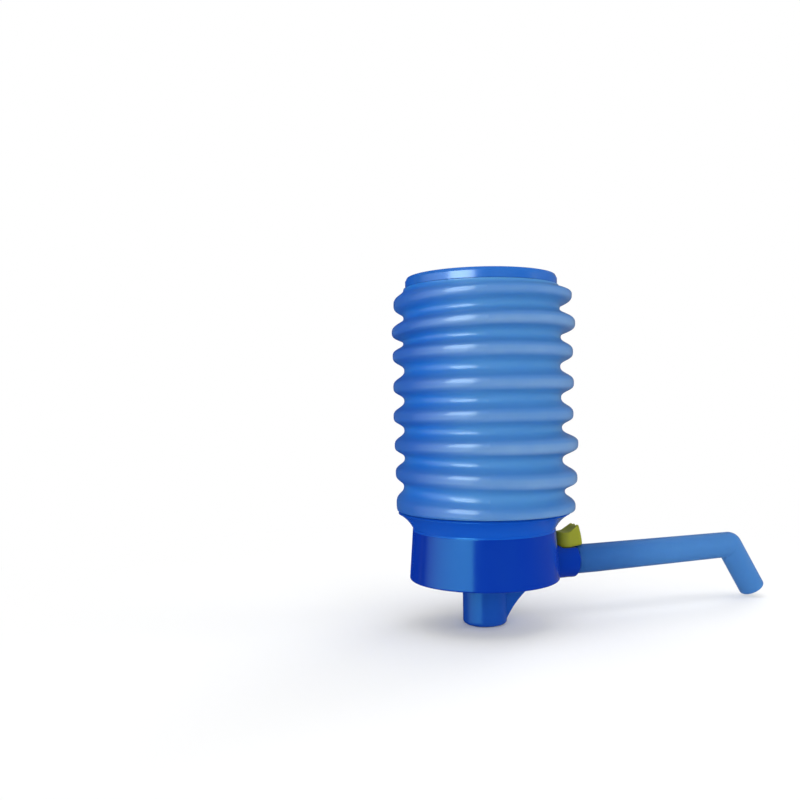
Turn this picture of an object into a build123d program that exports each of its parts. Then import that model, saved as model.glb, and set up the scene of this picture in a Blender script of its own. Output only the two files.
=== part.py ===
from build123d import *

import os
from math import atan2, cos, radians, sin, tan

# Hand pump for a large drinking-water jug: a bellows on a base that sits on the
# jug's neck.  Pressing the cap blows air through the delivery valve into the jug,
# and the air drives water up the intake tube, along the channel over the deck,
# down the riser, through the stopcock and out of the spout.
#
# Millimetres.  +Z runs up the bellows, +X along the spout.  The origin is the
# centre of the neck collar's mouth, in the plane of the skirt's lower edge.

# ---------------------------------------------------------------- driving sizes

# Jug neck that the pump sits on
neck_r = 27.5            # 55 mm crown neck
neck_clearance = 0.2     # between the neck and the grip ring

# Clearances used all over
seat_gap = 0.1           # between parts that are pushed or welded together
running_gap = 0.05       # radial, for what turns or slides in a bore
moving_gap = 0.3         # between parts that pass each other

# Base skirt: the outer housing
skirt_h = 24.3
skirt_draft = 4.0        # degrees that the wall leans in from the upright
skirt_wall = 1.8
skirt_foot_round = 0.8
shoulder_t = 1.4         # inward ledge at the top, under the bellows' foot
shoulder_w = 3.6
rib_t = 1.4
rib_count = 12
rib_foot_z = 2.0
stop_rib_reach = 1.3     # the ribs above the deck stop it from rising

# Neck insert: deck, collar, spigot and riser in one moulding
deck_drop = 6.3          # of the deck's top below the skirt's top
deck_t = 2.2
collar_wall = 1.2
collar_foot_z = 1.0
gasket_t = 2.5
gasket_w = 5.4
gasket_clear = 1.2       # between the gasket's hole and the elbow in it
grip_wall = 1.0
grip_h = 8.0
grip_lip = 1.0
grip_slots = 16
grip_slot_w = 1.2

# Spigot and the elbow that carries water sideways from it
spigot_r = 11.0
spigot_tip_z = -22.6
spigot_tip_round = 2.0
spigot_bore_r = 8.4
bush_bore_r = 5.2        # holds the intake tube
bush_recess = 0.8
bush_top_z = -4.0
chamber_r = 6.4
elbow_low_z = -20.2
elbow_high_z = -5.5
elbow_bulge = 0.8
elbow_half_w = 6.2
elbow_wall = 2.0

# Riser: the flat duct between collar and skirt
riser_depth = 3.35       # of the water's way, between collar and riser wall
riser_half_w = 6.0
riser_wall = 1.1
riser_floor_z = 1.4
riser_floor_t = 1.0
water_r = 3.0            # round bore from the riser to the spout
pad_r = 5.4
pad_stand = 0.9          # of the pad, off the riser's wall
duct_seal_t = 1.1

# Water channel: tray turned over on the deck
channel_seal_t = 0.6
channel_h = 4.2
channel_top_t = 1.2
channel_wall = 1.0
channel_half_w = 9.0
channel_back_r = 10.6

# Delivery valve under the deck, behind the spigot
delivery_hole_r = 2.6
delivery_disc_r = 4.2
delivery_disc_t = 1.2
delivery_lift = 1.5
delivery_cage_wall = 0.8
delivery_floor_t = 1.2
delivery_recess = 0.8
delivery_windows = 4
delivery_window_w = 3.0
valve_side_gap = 0.2
valve_rest_gap = 0.05

# Spout boss, stopcock and nipple
spout_z = 5.7
boss_r = 9.0
boss_end_x = 50.8
boss_end_chamfer = 1.2
nipple_r = 5.22
nipple_len = 16.0
nipple_chamfer = 0.6
ring_section_r = 0.6     # O-ring section
ring_groove_extra = 0.15
nipple_ring_offsets = (5.0, 11.0)
plug_r = 3.6
plug_hole_r = 2.4
plug_foot_z = 1.1
plug_web_t = 1.6
plug_stub_r = 1.7
clip_r = 3.0
clip_t = 0.8
plug_square = 4.2
plug_square_h = 5.4
plug_ring_low_z = 2.1
plug_ring_high_z = 10.2
knob_seat_z = 12.6
knob_seat_r = 6.8
knob_r = 5.0
knob_nose_r = 2.6
knob_reach = 9.5         # from the plug's axis to the tip of the nose
knob_low_z = 12.8
knob_dip_z = 20.5
knob_dip_reach = 1.1     # from the plug's axis back to the lowest point
knob_back_rise = 0.9
knob_peak_z = 23.6
knob_peak_reach = 5.2
knob_peak_w = 0.8
knob_nose_lift = 1.1     # the nose clears the spout below it

# Spout tube
spout_root_r = 7.5
spout_tip_r = 6.9
spout_bore_r = 5.3
spout_elbow_x = 150.0
spout_bend_r = 7.6
spout_leg = 28.2
spout_droop = 59.5       # degrees below level
spout_tip_round = 0.7

# Bellows collar: the flared ring that clamps the bellows' foot
flare_rim_r = 42.8
flare_h = 8.7
flare_wall = 1.4
flare_bulge = 0.6
crease_inset = 0.3       # groove where the flare meets the skirt
crease_h = 0.9
crease_lip_h = 0.4
collar_foot_w = 1.2
clamp_ledge_t = 1.4
foot_seal_t = 0.8

# Bellows
bellows_wall = 1.0
foot_flange_t = 1.0
foot_flange_w = 1.6
ring_count = 8
ring_pitch = 14.5
ring_seat_h = 4.7        # of the lowest ring's middle above the flare's rim
ring_peak_r = 46.0
ring_valley_r = 38.9
ring_half_h = 4.6
ring_bevel = 2.6
ring_face_half_h = 2.0
roof_slope_w = 3.5       # of the highest ring's slope up to the cap, outside its neck
top_tube_r = 35.8
top_flange_w = 3.4
top_flange_t = 1.0

# Press cap
cap_wall = 2.1
cap_seat_h = 6.4         # of the cap's edge above the highest ring's middle
cap_h = 5.1
cap_plate_t = 2.5
cap_edge = 1.6
cap_rim_w = 7.0
cap_dish_depth = 0.8
clamp_ring_wall = 3.0
clamp_ring_h = 3.6

# Inlet valve under the cap
inlet_disc_r = 6.8
inlet_disc_t = 1.2
inlet_lift = 1.2
inlet_boss_wall = 1.6
inlet_hole_r = 1.3
inlet_hole_ring_r = 3.2
inlet_holes = 5
inlet_seat_h = 0.4
inlet_seat_w = 0.8
inlet_floor_t = 1.4
inlet_nib_h = 0.6
inlet_nib_w = 0.9
inlet_nibs = 4
inlet_lip_t = 1.2

# ---------------------------------------------------------------- worked out

deck_top_z = skirt_h - deck_drop
deck_low_z = deck_top_z - deck_t
grip_in_r = neck_r + neck_clearance
collar_in_r = grip_in_r + grip_wall
collar_r = collar_in_r + collar_wall
gasket_r = collar_in_r - seat_gap
gasket_in_r = gasket_r - gasket_w
elbow_reach = gasket_in_r - gasket_clear

riser_in_r = collar_r + riser_depth
riser_r = riser_in_r + riser_wall
skirt_deck_r = riser_r + 2 * seat_gap + skirt_wall


def skirt_outer(z):
    """Outer radius of the tapered skirt at height z."""
    return skirt_deck_r + (deck_low_z - z) * tan(radians(skirt_draft))


def skirt_inner(z):
    """Inner radius of the tapered skirt at height z."""
    return skirt_outer(z) - skirt_wall


skirt_foot_r = skirt_outer(0)
skirt_top_r = skirt_outer(skirt_h)
shoulder_in_r = skirt_top_r - shoulder_w
deck_r = skirt_inner(deck_top_z) - seat_gap
stop_rib_in_r = deck_r - stop_rib_reach

channel_low_z = deck_top_z + channel_seal_t
channel_high_z = channel_low_z + channel_h
channel_end_r = skirt_inner(channel_high_z) - seat_gap

delivery_cage_r = delivery_disc_r + valve_side_gap + delivery_cage_wall
delivery_x = -(spigot_r + delivery_cage_r + moving_gap)
delivery_seat_z = deck_low_z + delivery_recess
delivery_disc_low_z = delivery_seat_z - delivery_lift - delivery_disc_t
delivery_floor_z = delivery_disc_low_z - valve_rest_gap

pad_x = riser_r + pad_stand
pad_seat_x = pad_x + duct_seal_t
plug_x = boss_end_x - knob_r
plug_bore_r = plug_r + running_gap
knob_nose_x = plug_x + knob_reach - knob_nose_r

foot_seal_low_z = skirt_h
foot_low_z = foot_seal_low_z + foot_seal_t
foot_high_z = foot_low_z + foot_flange_t
foot_flange_r = skirt_top_r - collar_foot_w - seat_gap
foot_tube_r = foot_flange_r - foot_flange_w
clamp_ledge_in_r = foot_tube_r + 2 * seat_gap
ledge_top_z = foot_high_z + clamp_ledge_t

flare_rim_z = skirt_h + flare_h
rim_top_z = flare_rim_z + flare_wall + moving_gap
first_ring_z = flare_rim_z + ring_seat_h
last_ring_z = first_ring_z + (ring_count - 1) * ring_pitch

cap_r = top_tube_r + seat_gap + cap_wall
cap_dish_r = cap_r - cap_rim_w
cap_low_z = last_ring_z + cap_seat_h
cap_top_z = cap_low_z + cap_h
roof_z = cap_low_z - moving_gap

cap_plate_low_z = cap_top_z - cap_plate_t
top_flange_low_z = cap_plate_low_z - top_flange_t
top_flange_in_r = top_tube_r - bellows_wall - top_flange_w

inlet_boss_r = inlet_disc_r + inlet_boss_wall + 3 * valve_side_gap
inlet_boss_in_r = inlet_boss_r - inlet_boss_wall
inlet_seat_z = cap_plate_low_z - inlet_seat_h
inlet_disc_low_z = inlet_seat_z - inlet_lift - inlet_disc_t
inlet_nib_top_z = inlet_disc_low_z - valve_rest_gap
inlet_floor_high_z = inlet_nib_top_z - inlet_nib_h
inlet_floor_low_z = inlet_floor_high_z - inlet_floor_t
inlet_boss_low_z = inlet_floor_low_z

BASE = (Align.CENTER, Align.CENTER, Align.MIN)
SPOUT_AXIS = Axis((0, 0, spout_z), (1, 0, 0))

os.makedirs("parts", exist_ok=True)


# ---------------------------------------------------------------- helpers

def o_ring(outer_r):
    """Seal ring about the current place, its round section cut to eight flats."""
    with BuildPart() as ring:
        with BuildSketch(Plane.XZ):
            with Locations((outer_r - ring_section_r, 0)):
                RegularPolygon(ring_section_r, 8, major_radius=False, rotation=22.5)
        revolve(axis=Axis.Z)
    return ring.part


def drum(radius, low, high, x=0.0, mode=Mode.ADD):
    """Upright cylinder between two heights, in the part being built."""
    with Locations((x, 0, low)):
        Cylinder(radius, high - low, align=BASE, mode=mode)


def bar(radius, start, end, mode=Mode.ADD):
    """Cylinder along the spout's axis between two X places."""
    with Locations(Location((start, 0, spout_z), (0, 90, 0))):
        Cylinder(radius, end - start, align=BASE, mode=mode)


def save(builder, name):
    """Label the finished piece and write it as its own STEP file."""
    builder.part.label = name
    export_step(builder.part, f"parts/{name}.step")


# ---------------------------------------------------------------- base skirt

rib_angles = [360 / rib_count * i for i in range(1, rib_count)]

with BuildPart() as base_skirt:
    # Tapered wall with the inward shoulder at its top
    with BuildSketch(Plane.XZ):
        with BuildLine():
            Polyline(
                (skirt_foot_r, 0),
                (skirt_top_r, skirt_h),
                (shoulder_in_r, skirt_h),
                (shoulder_in_r, skirt_h - shoulder_t),
                (skirt_inner(skirt_h - shoulder_t), skirt_h - shoulder_t),
                (skirt_inner(0), 0),
                close=True,
            )
        make_face()
    revolve(axis=Axis.Z)
    foot_edge = base_skirt.edges().group_by(Axis.Z)[0].sort_by(SortBy.LENGTH)[-1]
    fillet(foot_edge, skirt_foot_round)

    # Ribs that back the collar below the deck, and stop the deck from above
    for angle in rib_angles:
        with Locations(Rotation(0, 0, angle)):
            with Locations((collar_r + moving_gap, 0, rib_foot_z)):
                Box(
                    skirt_inner(rib_foot_z) + skirt_wall / 4 - collar_r - moving_gap,
                    rib_t,
                    deck_low_z - seat_gap - rib_foot_z,
                    align=(Align.MIN, Align.CENTER, Align.MIN),
                )
            with Locations((stop_rib_in_r, 0, deck_top_z + seat_gap)):
                Box(
                    skirt_inner(skirt_h) + skirt_wall / 2 - stop_rib_in_r,
                    rib_t,
                    skirt_h - shoulder_t - deck_top_z,
                    align=(Align.MIN, Align.CENTER, Align.MIN),
                )

    # Round boss for the stopcock, then the nipple for the spout
    bar(boss_r, pad_seat_x, boss_end_x)
    chamfer(base_skirt.edges().filter_by(GeomType.CIRCLE).sort_by(Axis.X)[-1], boss_end_chamfer)
    bar(nipple_r, boss_end_x, boss_end_x + nipple_len)
    chamfer(base_skirt.edges().filter_by(GeomType.CIRCLE).sort_by(Axis.X)[-1], nipple_chamfer)
    for offset_x in nipple_ring_offsets:
        groove_half = ring_section_r + ring_groove_extra
        groove_x = boss_end_x + offset_x
        with BuildSketch(Plane.XZ):
            with Locations((groove_x, spout_z + nipple_r)):
                Rectangle(2 * groove_half, 2 * (nipple_r - spout_bore_r + 2 * ring_section_r + running_gap))
        revolve(axis=SPOUT_AXIS, mode=Mode.SUBTRACT)

    # Flat seat for the duct seal on the inside of the wall, and the water bore
    bar(pad_r + seat_gap, shoulder_in_r, pad_seat_x, mode=Mode.SUBTRACT)
    bar(water_r, shoulder_in_r, boss_end_x + nipple_len, mode=Mode.SUBTRACT)

    # Stopcock: flat for the knob, bore for the plug, recess for the clip below
    drum(knob_seat_r, knob_seat_z, spout_z + 2 * boss_r, plug_x, Mode.SUBTRACT)
    drum(plug_bore_r, plug_foot_z - seat_gap, knob_seat_z, plug_x, Mode.SUBTRACT)
    drum(plug_stub_r + running_gap, spout_z - boss_r, plug_foot_z, plug_x, Mode.SUBTRACT)
    drum(
        clip_r + moving_gap,
        spout_z - boss_r - 1,
        plug_foot_z - seat_gap - plug_web_t,
        plug_x,
        Mode.SUBTRACT,
    )
save(base_skirt, "base_skirt")

# ---------------------------------------------------------------- neck insert

with BuildPart() as neck_insert:
    drum(deck_r, deck_low_z, deck_top_z)
    drum(collar_r, collar_foot_z, deck_low_z)
    drum(collar_in_r, collar_foot_z, deck_low_z, mode=Mode.SUBTRACT)

    # Spigot with its elbow towards the spout
    drum(spigot_r, spigot_tip_z, deck_low_z)
    with BuildSketch(Plane.XZ):
        with BuildLine():
            low = (spigot_r - 2, elbow_low_z)
            high = (elbow_reach, elbow_high_z)
            middle = (
                (low[0] + high[0]) / 2 - elbow_bulge,
                (low[1] + high[1]) / 2 + elbow_bulge,
            )
            ThreePointArc(low, middle, high)
            Polyline(high, (elbow_reach, deck_low_z), (0, deck_low_z), (0, elbow_low_z), low)
        make_face()
    extrude(amount=elbow_half_w, both=True)

    # Riser: a flat duct on the collar's outside, open at the deck
    with BuildSketch(Plane.XY.offset(riser_floor_z)):
        Circle(riser_r)
        Circle(collar_r, mode=Mode.SUBTRACT)
        Rectangle(
            riser_r + 1,
            2 * (riser_half_w + riser_wall),
            align=(Align.MIN, Align.CENTER),
            mode=Mode.INTERSECT,
        )
    extrude(amount=deck_low_z - riser_floor_z)
    bar(pad_r, riser_in_r, pad_x)
    with BuildSketch(Plane.XY.offset(riser_floor_z + riser_floor_t)):
        Circle(riser_in_r)
        Circle(collar_r, mode=Mode.SUBTRACT)
        Rectangle(
            riser_r,
            2 * riser_half_w,
            align=(Align.MIN, Align.CENTER),
            mode=Mode.INTERSECT,
        )
    extrude(amount=deck_top_z - riser_floor_z, mode=Mode.SUBTRACT)
    bar(water_r, collar_r, pad_x + 1, mode=Mode.SUBTRACT)

    # Bores: the bush's socket, the chamber above it and the elbow's inside
    drum(spigot_bore_r, spigot_tip_z, bush_top_z, mode=Mode.SUBTRACT)
    drum(chamber_r, bush_top_z, deck_top_z, mode=Mode.SUBTRACT)
    with BuildSketch(Plane.XZ):
        with BuildLine():
            Polyline(
                (0, elbow_high_z + 2 * elbow_wall),
                (elbow_reach - 3 * elbow_wall, elbow_high_z + 2 * elbow_wall),
                (elbow_reach - elbow_wall, elbow_high_z + 4 * elbow_wall),
                (elbow_reach - elbow_wall, deck_top_z),
                (0, deck_top_z),
                close=True,
            )
        make_face()
    extrude(amount=elbow_half_w - elbow_wall, both=True, mode=Mode.SUBTRACT)

    # Delivery valve: hole through the deck and a recess for the cage below it
    drum(delivery_hole_r, deck_low_z, deck_top_z, delivery_x, Mode.SUBTRACT)
    drum(delivery_cage_r + seat_gap / 2, deck_low_z, delivery_seat_z, delivery_x, Mode.SUBTRACT)

    tip = neck_insert.edges().filter_by(GeomType.CIRCLE).group_by(Axis.Z)[0]
    fillet(tip.sort_by(SortBy.RADIUS)[-1], spigot_tip_round)
save(neck_insert, "neck_insert")

# ---------------------------------------------------------------- neck seals

with BuildPart() as neck_gasket:
    drum(gasket_r, deck_low_z - gasket_t, deck_low_z)
    drum(gasket_in_r, deck_low_z - gasket_t, deck_low_z, mode=Mode.SUBTRACT)
save(neck_gasket, "neck_gasket")

with BuildPart() as neck_grip_ring:
    # Slotted ring that springs onto the jug's neck, with a lip under the collar
    with BuildSketch(Plane.XZ):
        with BuildLine():
            Polyline(
                (grip_in_r + grip_wall / 2, 0),
                (collar_r, 0),
                (collar_r, collar_foot_z - seat_gap),
                (collar_in_r - seat_gap, collar_foot_z - seat_gap),
                (collar_in_r - seat_gap, collar_foot_z + grip_h),
                (grip_in_r, collar_foot_z + grip_h),
                (grip_in_r, grip_lip),
                close=True,
            )
        make_face()
    revolve(axis=Axis.Z)
    with BuildSketch(Plane.XY.offset(collar_foot_z + grip_h / 4)):
        with PolarLocations(collar_in_r, grip_slots):
            Rectangle(4 * grip_wall, grip_slot_w)
    extrude(amount=grip_h, mode=Mode.SUBTRACT)
save(neck_grip_ring, "neck_grip_ring")

with BuildPart() as intake_bush:
    drum(spigot_bore_r - seat_gap / 2, spigot_tip_z + bush_recess, bush_top_z)
    drum(bush_bore_r, spigot_tip_z + bush_recess, bush_top_z, mode=Mode.SUBTRACT)
save(intake_bush, "intake_bush")

with BuildPart() as duct_seal:
    bar(pad_r - seat_gap, pad_x, pad_seat_x)
    bar(water_r, pad_x, pad_seat_x, mode=Mode.SUBTRACT)
save(duct_seal, "duct_seal")

# ---------------------------------------------------------------- water channel


def channel_outline(inset):
    """Plan of the channel on the deck: round over the spigot, straight to the riser."""
    Circle(channel_back_r - inset)
    Rectangle(
        2 * channel_end_r,
        2 * (channel_half_w - inset),
        align=(Align.MIN, Align.CENTER),
    )
    Circle(channel_end_r - inset, mode=Mode.INTERSECT)


with BuildPart() as channel_gasket:
    with BuildSketch(Plane.XY.offset(deck_top_z)):
        channel_outline(0)
    extrude(amount=channel_seal_t)
    with BuildSketch(Plane.XY.offset(deck_top_z)):
        channel_outline(channel_wall)
    extrude(amount=channel_seal_t, mode=Mode.SUBTRACT)
save(channel_gasket, "channel_gasket")

with BuildPart() as water_channel:
    with BuildSketch(Plane.XY.offset(channel_low_z)):
        channel_outline(0)
    extrude(amount=channel_h)
    with BuildSketch(Plane.XY.offset(channel_low_z)):
        channel_outline(channel_wall)
    extrude(amount=channel_h - channel_top_t, mode=Mode.SUBTRACT)
save(water_channel, "water_channel")

# ---------------------------------------------------------------- delivery valve

with BuildPart() as delivery_valve_cage:
    drum(delivery_cage_r, delivery_floor_z - delivery_floor_t, delivery_seat_z, delivery_x)
    drum(
        delivery_disc_r + valve_side_gap,
        delivery_floor_z,
        delivery_seat_z,
        delivery_x,
        Mode.SUBTRACT,
    )
    drum(
        delivery_disc_r / 2,
        delivery_floor_z - delivery_floor_t,
        delivery_floor_z,
        delivery_x,
        Mode.SUBTRACT,
    )
    with BuildSketch(Plane.XY.offset(delivery_floor_z)):
        with Locations((delivery_x, 0)):
            with PolarLocations(delivery_cage_r, delivery_windows, start_angle=45):
                Rectangle(4 * delivery_cage_wall, delivery_window_w)
    extrude(amount=deck_low_z - delivery_floor_z - seat_gap, mode=Mode.SUBTRACT)
save(delivery_valve_cage, "delivery_valve_cage")

with BuildPart() as delivery_valve_disc:
    drum(
        delivery_disc_r,
        delivery_disc_low_z,
        delivery_disc_low_z + delivery_disc_t,
        delivery_x,
    )
save(delivery_valve_disc, "delivery_valve_disc")

# ---------------------------------------------------------------- stopcock

with BuildPart() as stopcock_plug:
    drum(plug_r, plug_foot_z, knob_low_z, plug_x)
    drum(plug_stub_r, plug_foot_z - plug_web_t - clip_t - 3 * seat_gap, plug_foot_z, plug_x)
    with Locations((plug_x, 0, knob_low_z)):
        Box(plug_square, plug_square, plug_square_h, align=BASE)
    for ring_z in (plug_ring_low_z, plug_ring_high_z):
        with BuildSketch(Plane.XZ):
            with Locations((plug_x + plug_r, ring_z)):
                Rectangle(4 * ring_section_r, 2 * (ring_section_r + ring_groove_extra))
        revolve(axis=Axis((plug_x, 0, 0), (0, 0, 1)), mode=Mode.SUBTRACT)
    bar(plug_hole_r, plug_x - 2 * plug_r, plug_x + 2 * plug_r, mode=Mode.SUBTRACT)
save(stopcock_plug, "stopcock_plug")

with BuildPart() as plug_o_rings:
    for ring_z in (plug_ring_low_z, plug_ring_high_z):
        with Locations((plug_x, 0, ring_z)):
            add(o_ring(plug_r))
save(plug_o_rings, "plug_o_rings")

with BuildPart() as plug_clip:
    clip_high_z = plug_foot_z - plug_web_t - 2 * seat_gap
    drum(clip_r, clip_high_z - clip_t, clip_high_z, plug_x)
    drum(plug_stub_r, clip_high_z - clip_t, clip_high_z, plug_x, Mode.SUBTRACT)
save(plug_clip, "plug_clip")

with BuildPart() as stopcock_knob:
    # Round hub with a nose along the spout, seen from above
    with BuildSketch(Plane.XY.offset(knob_low_z)):
        with Locations((plug_x, 0)):
            Circle(knob_r)
        with Locations((knob_nose_x, 0)):
            Circle(knob_nose_r)
        make_hull()
    extrude(amount=knob_peak_z - knob_low_z)
    # Dished top that rises to the thumb peak, and a sloping nose
    with BuildSketch(Plane.XZ):
        with BuildLine():
            peak = (plug_x + knob_peak_reach, knob_peak_z)
            dip = (plug_x - knob_dip_reach, knob_dip_z)
            back = (plug_x - knob_r - 1, knob_dip_z + knob_back_rise)
            over = (plug_x - knob_r - 1, knob_peak_z + 1)
            ThreePointArc(back, dip, peak)
            Polyline(peak, (peak[0], knob_peak_z + 1), over, back)
        make_face()
        with BuildLine():
            Polyline(
                (peak[0] + knob_peak_w, knob_peak_z),
                (peak[0] + knob_peak_w + knob_reach, knob_peak_z),
                (plug_x + 2 * knob_reach, knob_low_z),
                (plug_x + knob_reach, knob_low_z),
                close=True,
            )
        make_face()
    extrude(amount=2 * knob_r, both=True, mode=Mode.SUBTRACT)
    # The nose is lifted off the spout, which it passes over as the knob turns
    with BuildSketch(Plane.XY.offset(knob_low_z)):
        with Locations((plug_x, 0)):
            Circle(2 * knob_reach)
            Circle(knob_r, mode=Mode.SUBTRACT)
    extrude(amount=knob_nose_lift, mode=Mode.SUBTRACT)
    # Square socket for the plug's head
    with Locations((plug_x, 0, knob_low_z)):
        Box(
            plug_square + seat_gap / 2,
            plug_square + seat_gap / 2,
            plug_square_h + seat_gap,
            align=BASE,
            mode=Mode.SUBTRACT,
        )
save(stopcock_knob, "stopcock_knob")

# ---------------------------------------------------------------- spout

with BuildPart() as spout_o_rings:
    for offset_x in nipple_ring_offsets:
        with Locations(Location((boss_end_x + offset_x, 0, spout_z), (0, 90, 0))):
            add(o_ring(spout_bore_r - running_gap))
save(spout_o_rings, "spout_o_rings")

droop = radians(spout_droop)
spout_start_x = boss_end_x + moving_gap
bend_start_x = spout_elbow_x - 2 * spout_bend_r
leg_end = (
    spout_elbow_x + spout_leg * cos(droop),
    0,
    spout_z - spout_leg * sin(droop),
)

with BuildPart() as spout_tube:
    # Straight run, slightly tapered
    with BuildSketch(Plane.XZ):
        with BuildLine():
            Polyline(
                (spout_start_x, spout_z + spout_bore_r),
                (bend_start_x, spout_z + spout_bore_r),
                (bend_start_x, spout_z + spout_tip_r),
                (spout_start_x, spout_z + spout_root_r),
                close=True,
            )
        make_face()
    revolve(axis=SPOUT_AXIS)
save(spout_tube, "spout_tube")

with BuildPart() as spout_leg:
    # Bend and drooping leg, one moulding with the straight run
    with BuildLine():
        FilletPolyline(
            (bend_start_x, 0, spout_z),
            (spout_elbow_x, 0, spout_z),
            leg_end,
            radius=spout_bend_r,
        )
    with BuildSketch(Plane((bend_start_x, 0, spout_z), x_dir=(0, 1, 0), z_dir=(1, 0, 0))):
        Circle(spout_tip_r)
        Circle(spout_bore_r, mode=Mode.SUBTRACT)
    sweep()
    tip = spout_leg.edges().filter_by(GeomType.CIRCLE).sort_by(Axis.Z)[:2]
    fillet(tip.sort_by(SortBy.RADIUS)[-1], spout_tip_round)
save(spout_leg, "spout_leg")

# ---------------------------------------------------------------- bellows collar

with BuildPart() as bellows_seal_ring:
    drum(foot_flange_r, foot_seal_low_z, foot_low_z)
    drum(foot_tube_r - bellows_wall, foot_seal_low_z, foot_low_z, mode=Mode.SUBTRACT)
save(bellows_seal_ring, "bellows_seal_ring")

with BuildPart() as bellows_collar:
    with BuildSketch(Plane.XZ):
        with BuildLine():
            flare_foot = (skirt_top_r - crease_inset, skirt_h + crease_h)
            rim_out = (flare_rim_r, flare_rim_z)
            lean = atan2(rim_out[1] - flare_foot[1], rim_out[0] - flare_foot[0])
            rim_in = (flare_rim_r - flare_wall * sin(lean), flare_rim_z + flare_wall * cos(lean))
            flare_seat = (foot_flange_r + seat_gap, ledge_top_z)
            for start, end in ((flare_foot, rim_out), (rim_in, flare_seat)):
                halfway = (
                    (start[0] + end[0]) / 2 - flare_bulge,
                    (start[1] + end[1]) / 2 + flare_bulge,
                )
                ThreePointArc(start, halfway, end)
            Line(rim_out, rim_in)
            Polyline(
                flare_seat,
                (clamp_ledge_in_r, ledge_top_z),
                (clamp_ledge_in_r, foot_high_z),
                (foot_flange_r + seat_gap, foot_high_z),
                (foot_flange_r + seat_gap, skirt_h),
                (skirt_top_r, skirt_h),
                (skirt_top_r, skirt_h + crease_lip_h),
                flare_foot,
            )
        make_face()
    revolve(axis=Axis.Z)
save(bellows_collar, "bellows_collar")

# ---------------------------------------------------------------- bellows


def outer_ring_points(index):
    """Half section of one ring's outside, from its lower flank to the valley above."""
    z = first_ring_z + index * ring_pitch
    shoulder_r = ring_peak_r - ring_bevel
    points = [
        (shoulder_r, z - ring_half_h),
        (ring_peak_r, z - ring_face_half_h),
        (ring_peak_r, z + ring_face_half_h),
        (shoulder_r, z + ring_half_h),
        (ring_valley_r, z + ring_pitch / 2),
    ]
    return points


def inner_ring_points(index):
    """The same on the inside, one wall further in."""
    z = first_ring_z + index * ring_pitch
    shoulder_r = ring_peak_r - ring_bevel - bellows_wall
    points = [
        (shoulder_r, z - ring_half_h + bellows_wall),
        (ring_peak_r - bellows_wall, z),
        (shoulder_r, z + ring_half_h - bellows_wall),
        (ring_valley_r - bellows_wall, z + ring_pitch / 2),
    ]
    return points


with BuildPart() as bellows:
    outside = [
        (foot_flange_r, foot_low_z),
        (foot_flange_r, foot_high_z - seat_gap),
        (foot_tube_r, foot_high_z - seat_gap),
        (foot_tube_r, ledge_top_z + moving_gap),
        (flare_rim_r - 2 * flare_wall, rim_top_z),
        (ring_peak_r - ring_bevel, rim_top_z),
    ]
    outside += outer_ring_points(0)[1:]
    for index in range(1, ring_count - 1):
        outside += outer_ring_points(index)
    outside += outer_ring_points(ring_count - 1)[:4]
    outside += [
        (top_tube_r + roof_slope_w, roof_z),
        (top_tube_r, roof_z),
        (top_tube_r, cap_plate_low_z),
    ]
    inside = [
        (foot_tube_r - bellows_wall, foot_low_z),
        (foot_tube_r - bellows_wall, ledge_top_z + moving_gap),
        (flare_rim_r - 2 * flare_wall - bellows_wall, rim_top_z + bellows_wall),
        (ring_peak_r - ring_bevel, rim_top_z + bellows_wall),
    ]
    inside += inner_ring_points(0)[1:]
    for index in range(1, ring_count - 1):
        inside += inner_ring_points(index)
    inside += inner_ring_points(ring_count - 1)[:3]
    inside += [
        (top_tube_r + roof_slope_w - bellows_wall, roof_z - bellows_wall),
        (top_tube_r - bellows_wall, roof_z - bellows_wall),
        (top_tube_r - bellows_wall, top_flange_low_z),
        (top_flange_in_r, top_flange_low_z),
        (top_flange_in_r, cap_plate_low_z),
    ]
    with BuildSketch(Plane.XZ):
        with BuildLine():
            Polyline(*outside, *reversed(inside), close=True)
        make_face()
    revolve(axis=Axis.Z)
save(bellows, "bellows")

# ---------------------------------------------------------------- press cap

with BuildPart() as press_cap:
    drum(cap_r, cap_low_z, cap_top_z)
    chamfer(press_cap.edges().group_by(Axis.Z)[-1], cap_edge, cap_edge / 2)
    drum(top_tube_r + seat_gap, cap_low_z, cap_plate_low_z, mode=Mode.SUBTRACT)
    drum(cap_dish_r, cap_top_z - cap_dish_depth, cap_top_z, mode=Mode.SUBTRACT)
    # Boss and seat of the inlet valve on the underside
    drum(inlet_boss_r, inlet_boss_low_z, cap_plate_low_z)
    drum(inlet_boss_in_r, inlet_boss_low_z, cap_plate_low_z, mode=Mode.SUBTRACT)
    seat_r = inlet_disc_r - 2 * valve_side_gap
    drum(seat_r, inlet_seat_z, cap_plate_low_z)
    drum(seat_r - inlet_seat_w, inlet_seat_z, cap_plate_low_z, mode=Mode.SUBTRACT)
    with BuildSketch(Plane.XY.offset(cap_plate_low_z)):
        with PolarLocations(inlet_hole_ring_r, inlet_holes):
            Circle(inlet_hole_r)
    extrude(amount=cap_plate_t, mode=Mode.SUBTRACT)
save(press_cap, "press_cap")

with BuildPart() as cap_clamp_ring:
    ring_r = top_tube_r - bellows_wall - seat_gap
    drum(ring_r, top_flange_low_z - clamp_ring_h, top_flange_low_z)
    drum(
        ring_r - clamp_ring_wall,
        top_flange_low_z - clamp_ring_h,
        top_flange_low_z,
        mode=Mode.SUBTRACT,
    )
save(cap_clamp_ring, "cap_clamp_ring")

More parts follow.
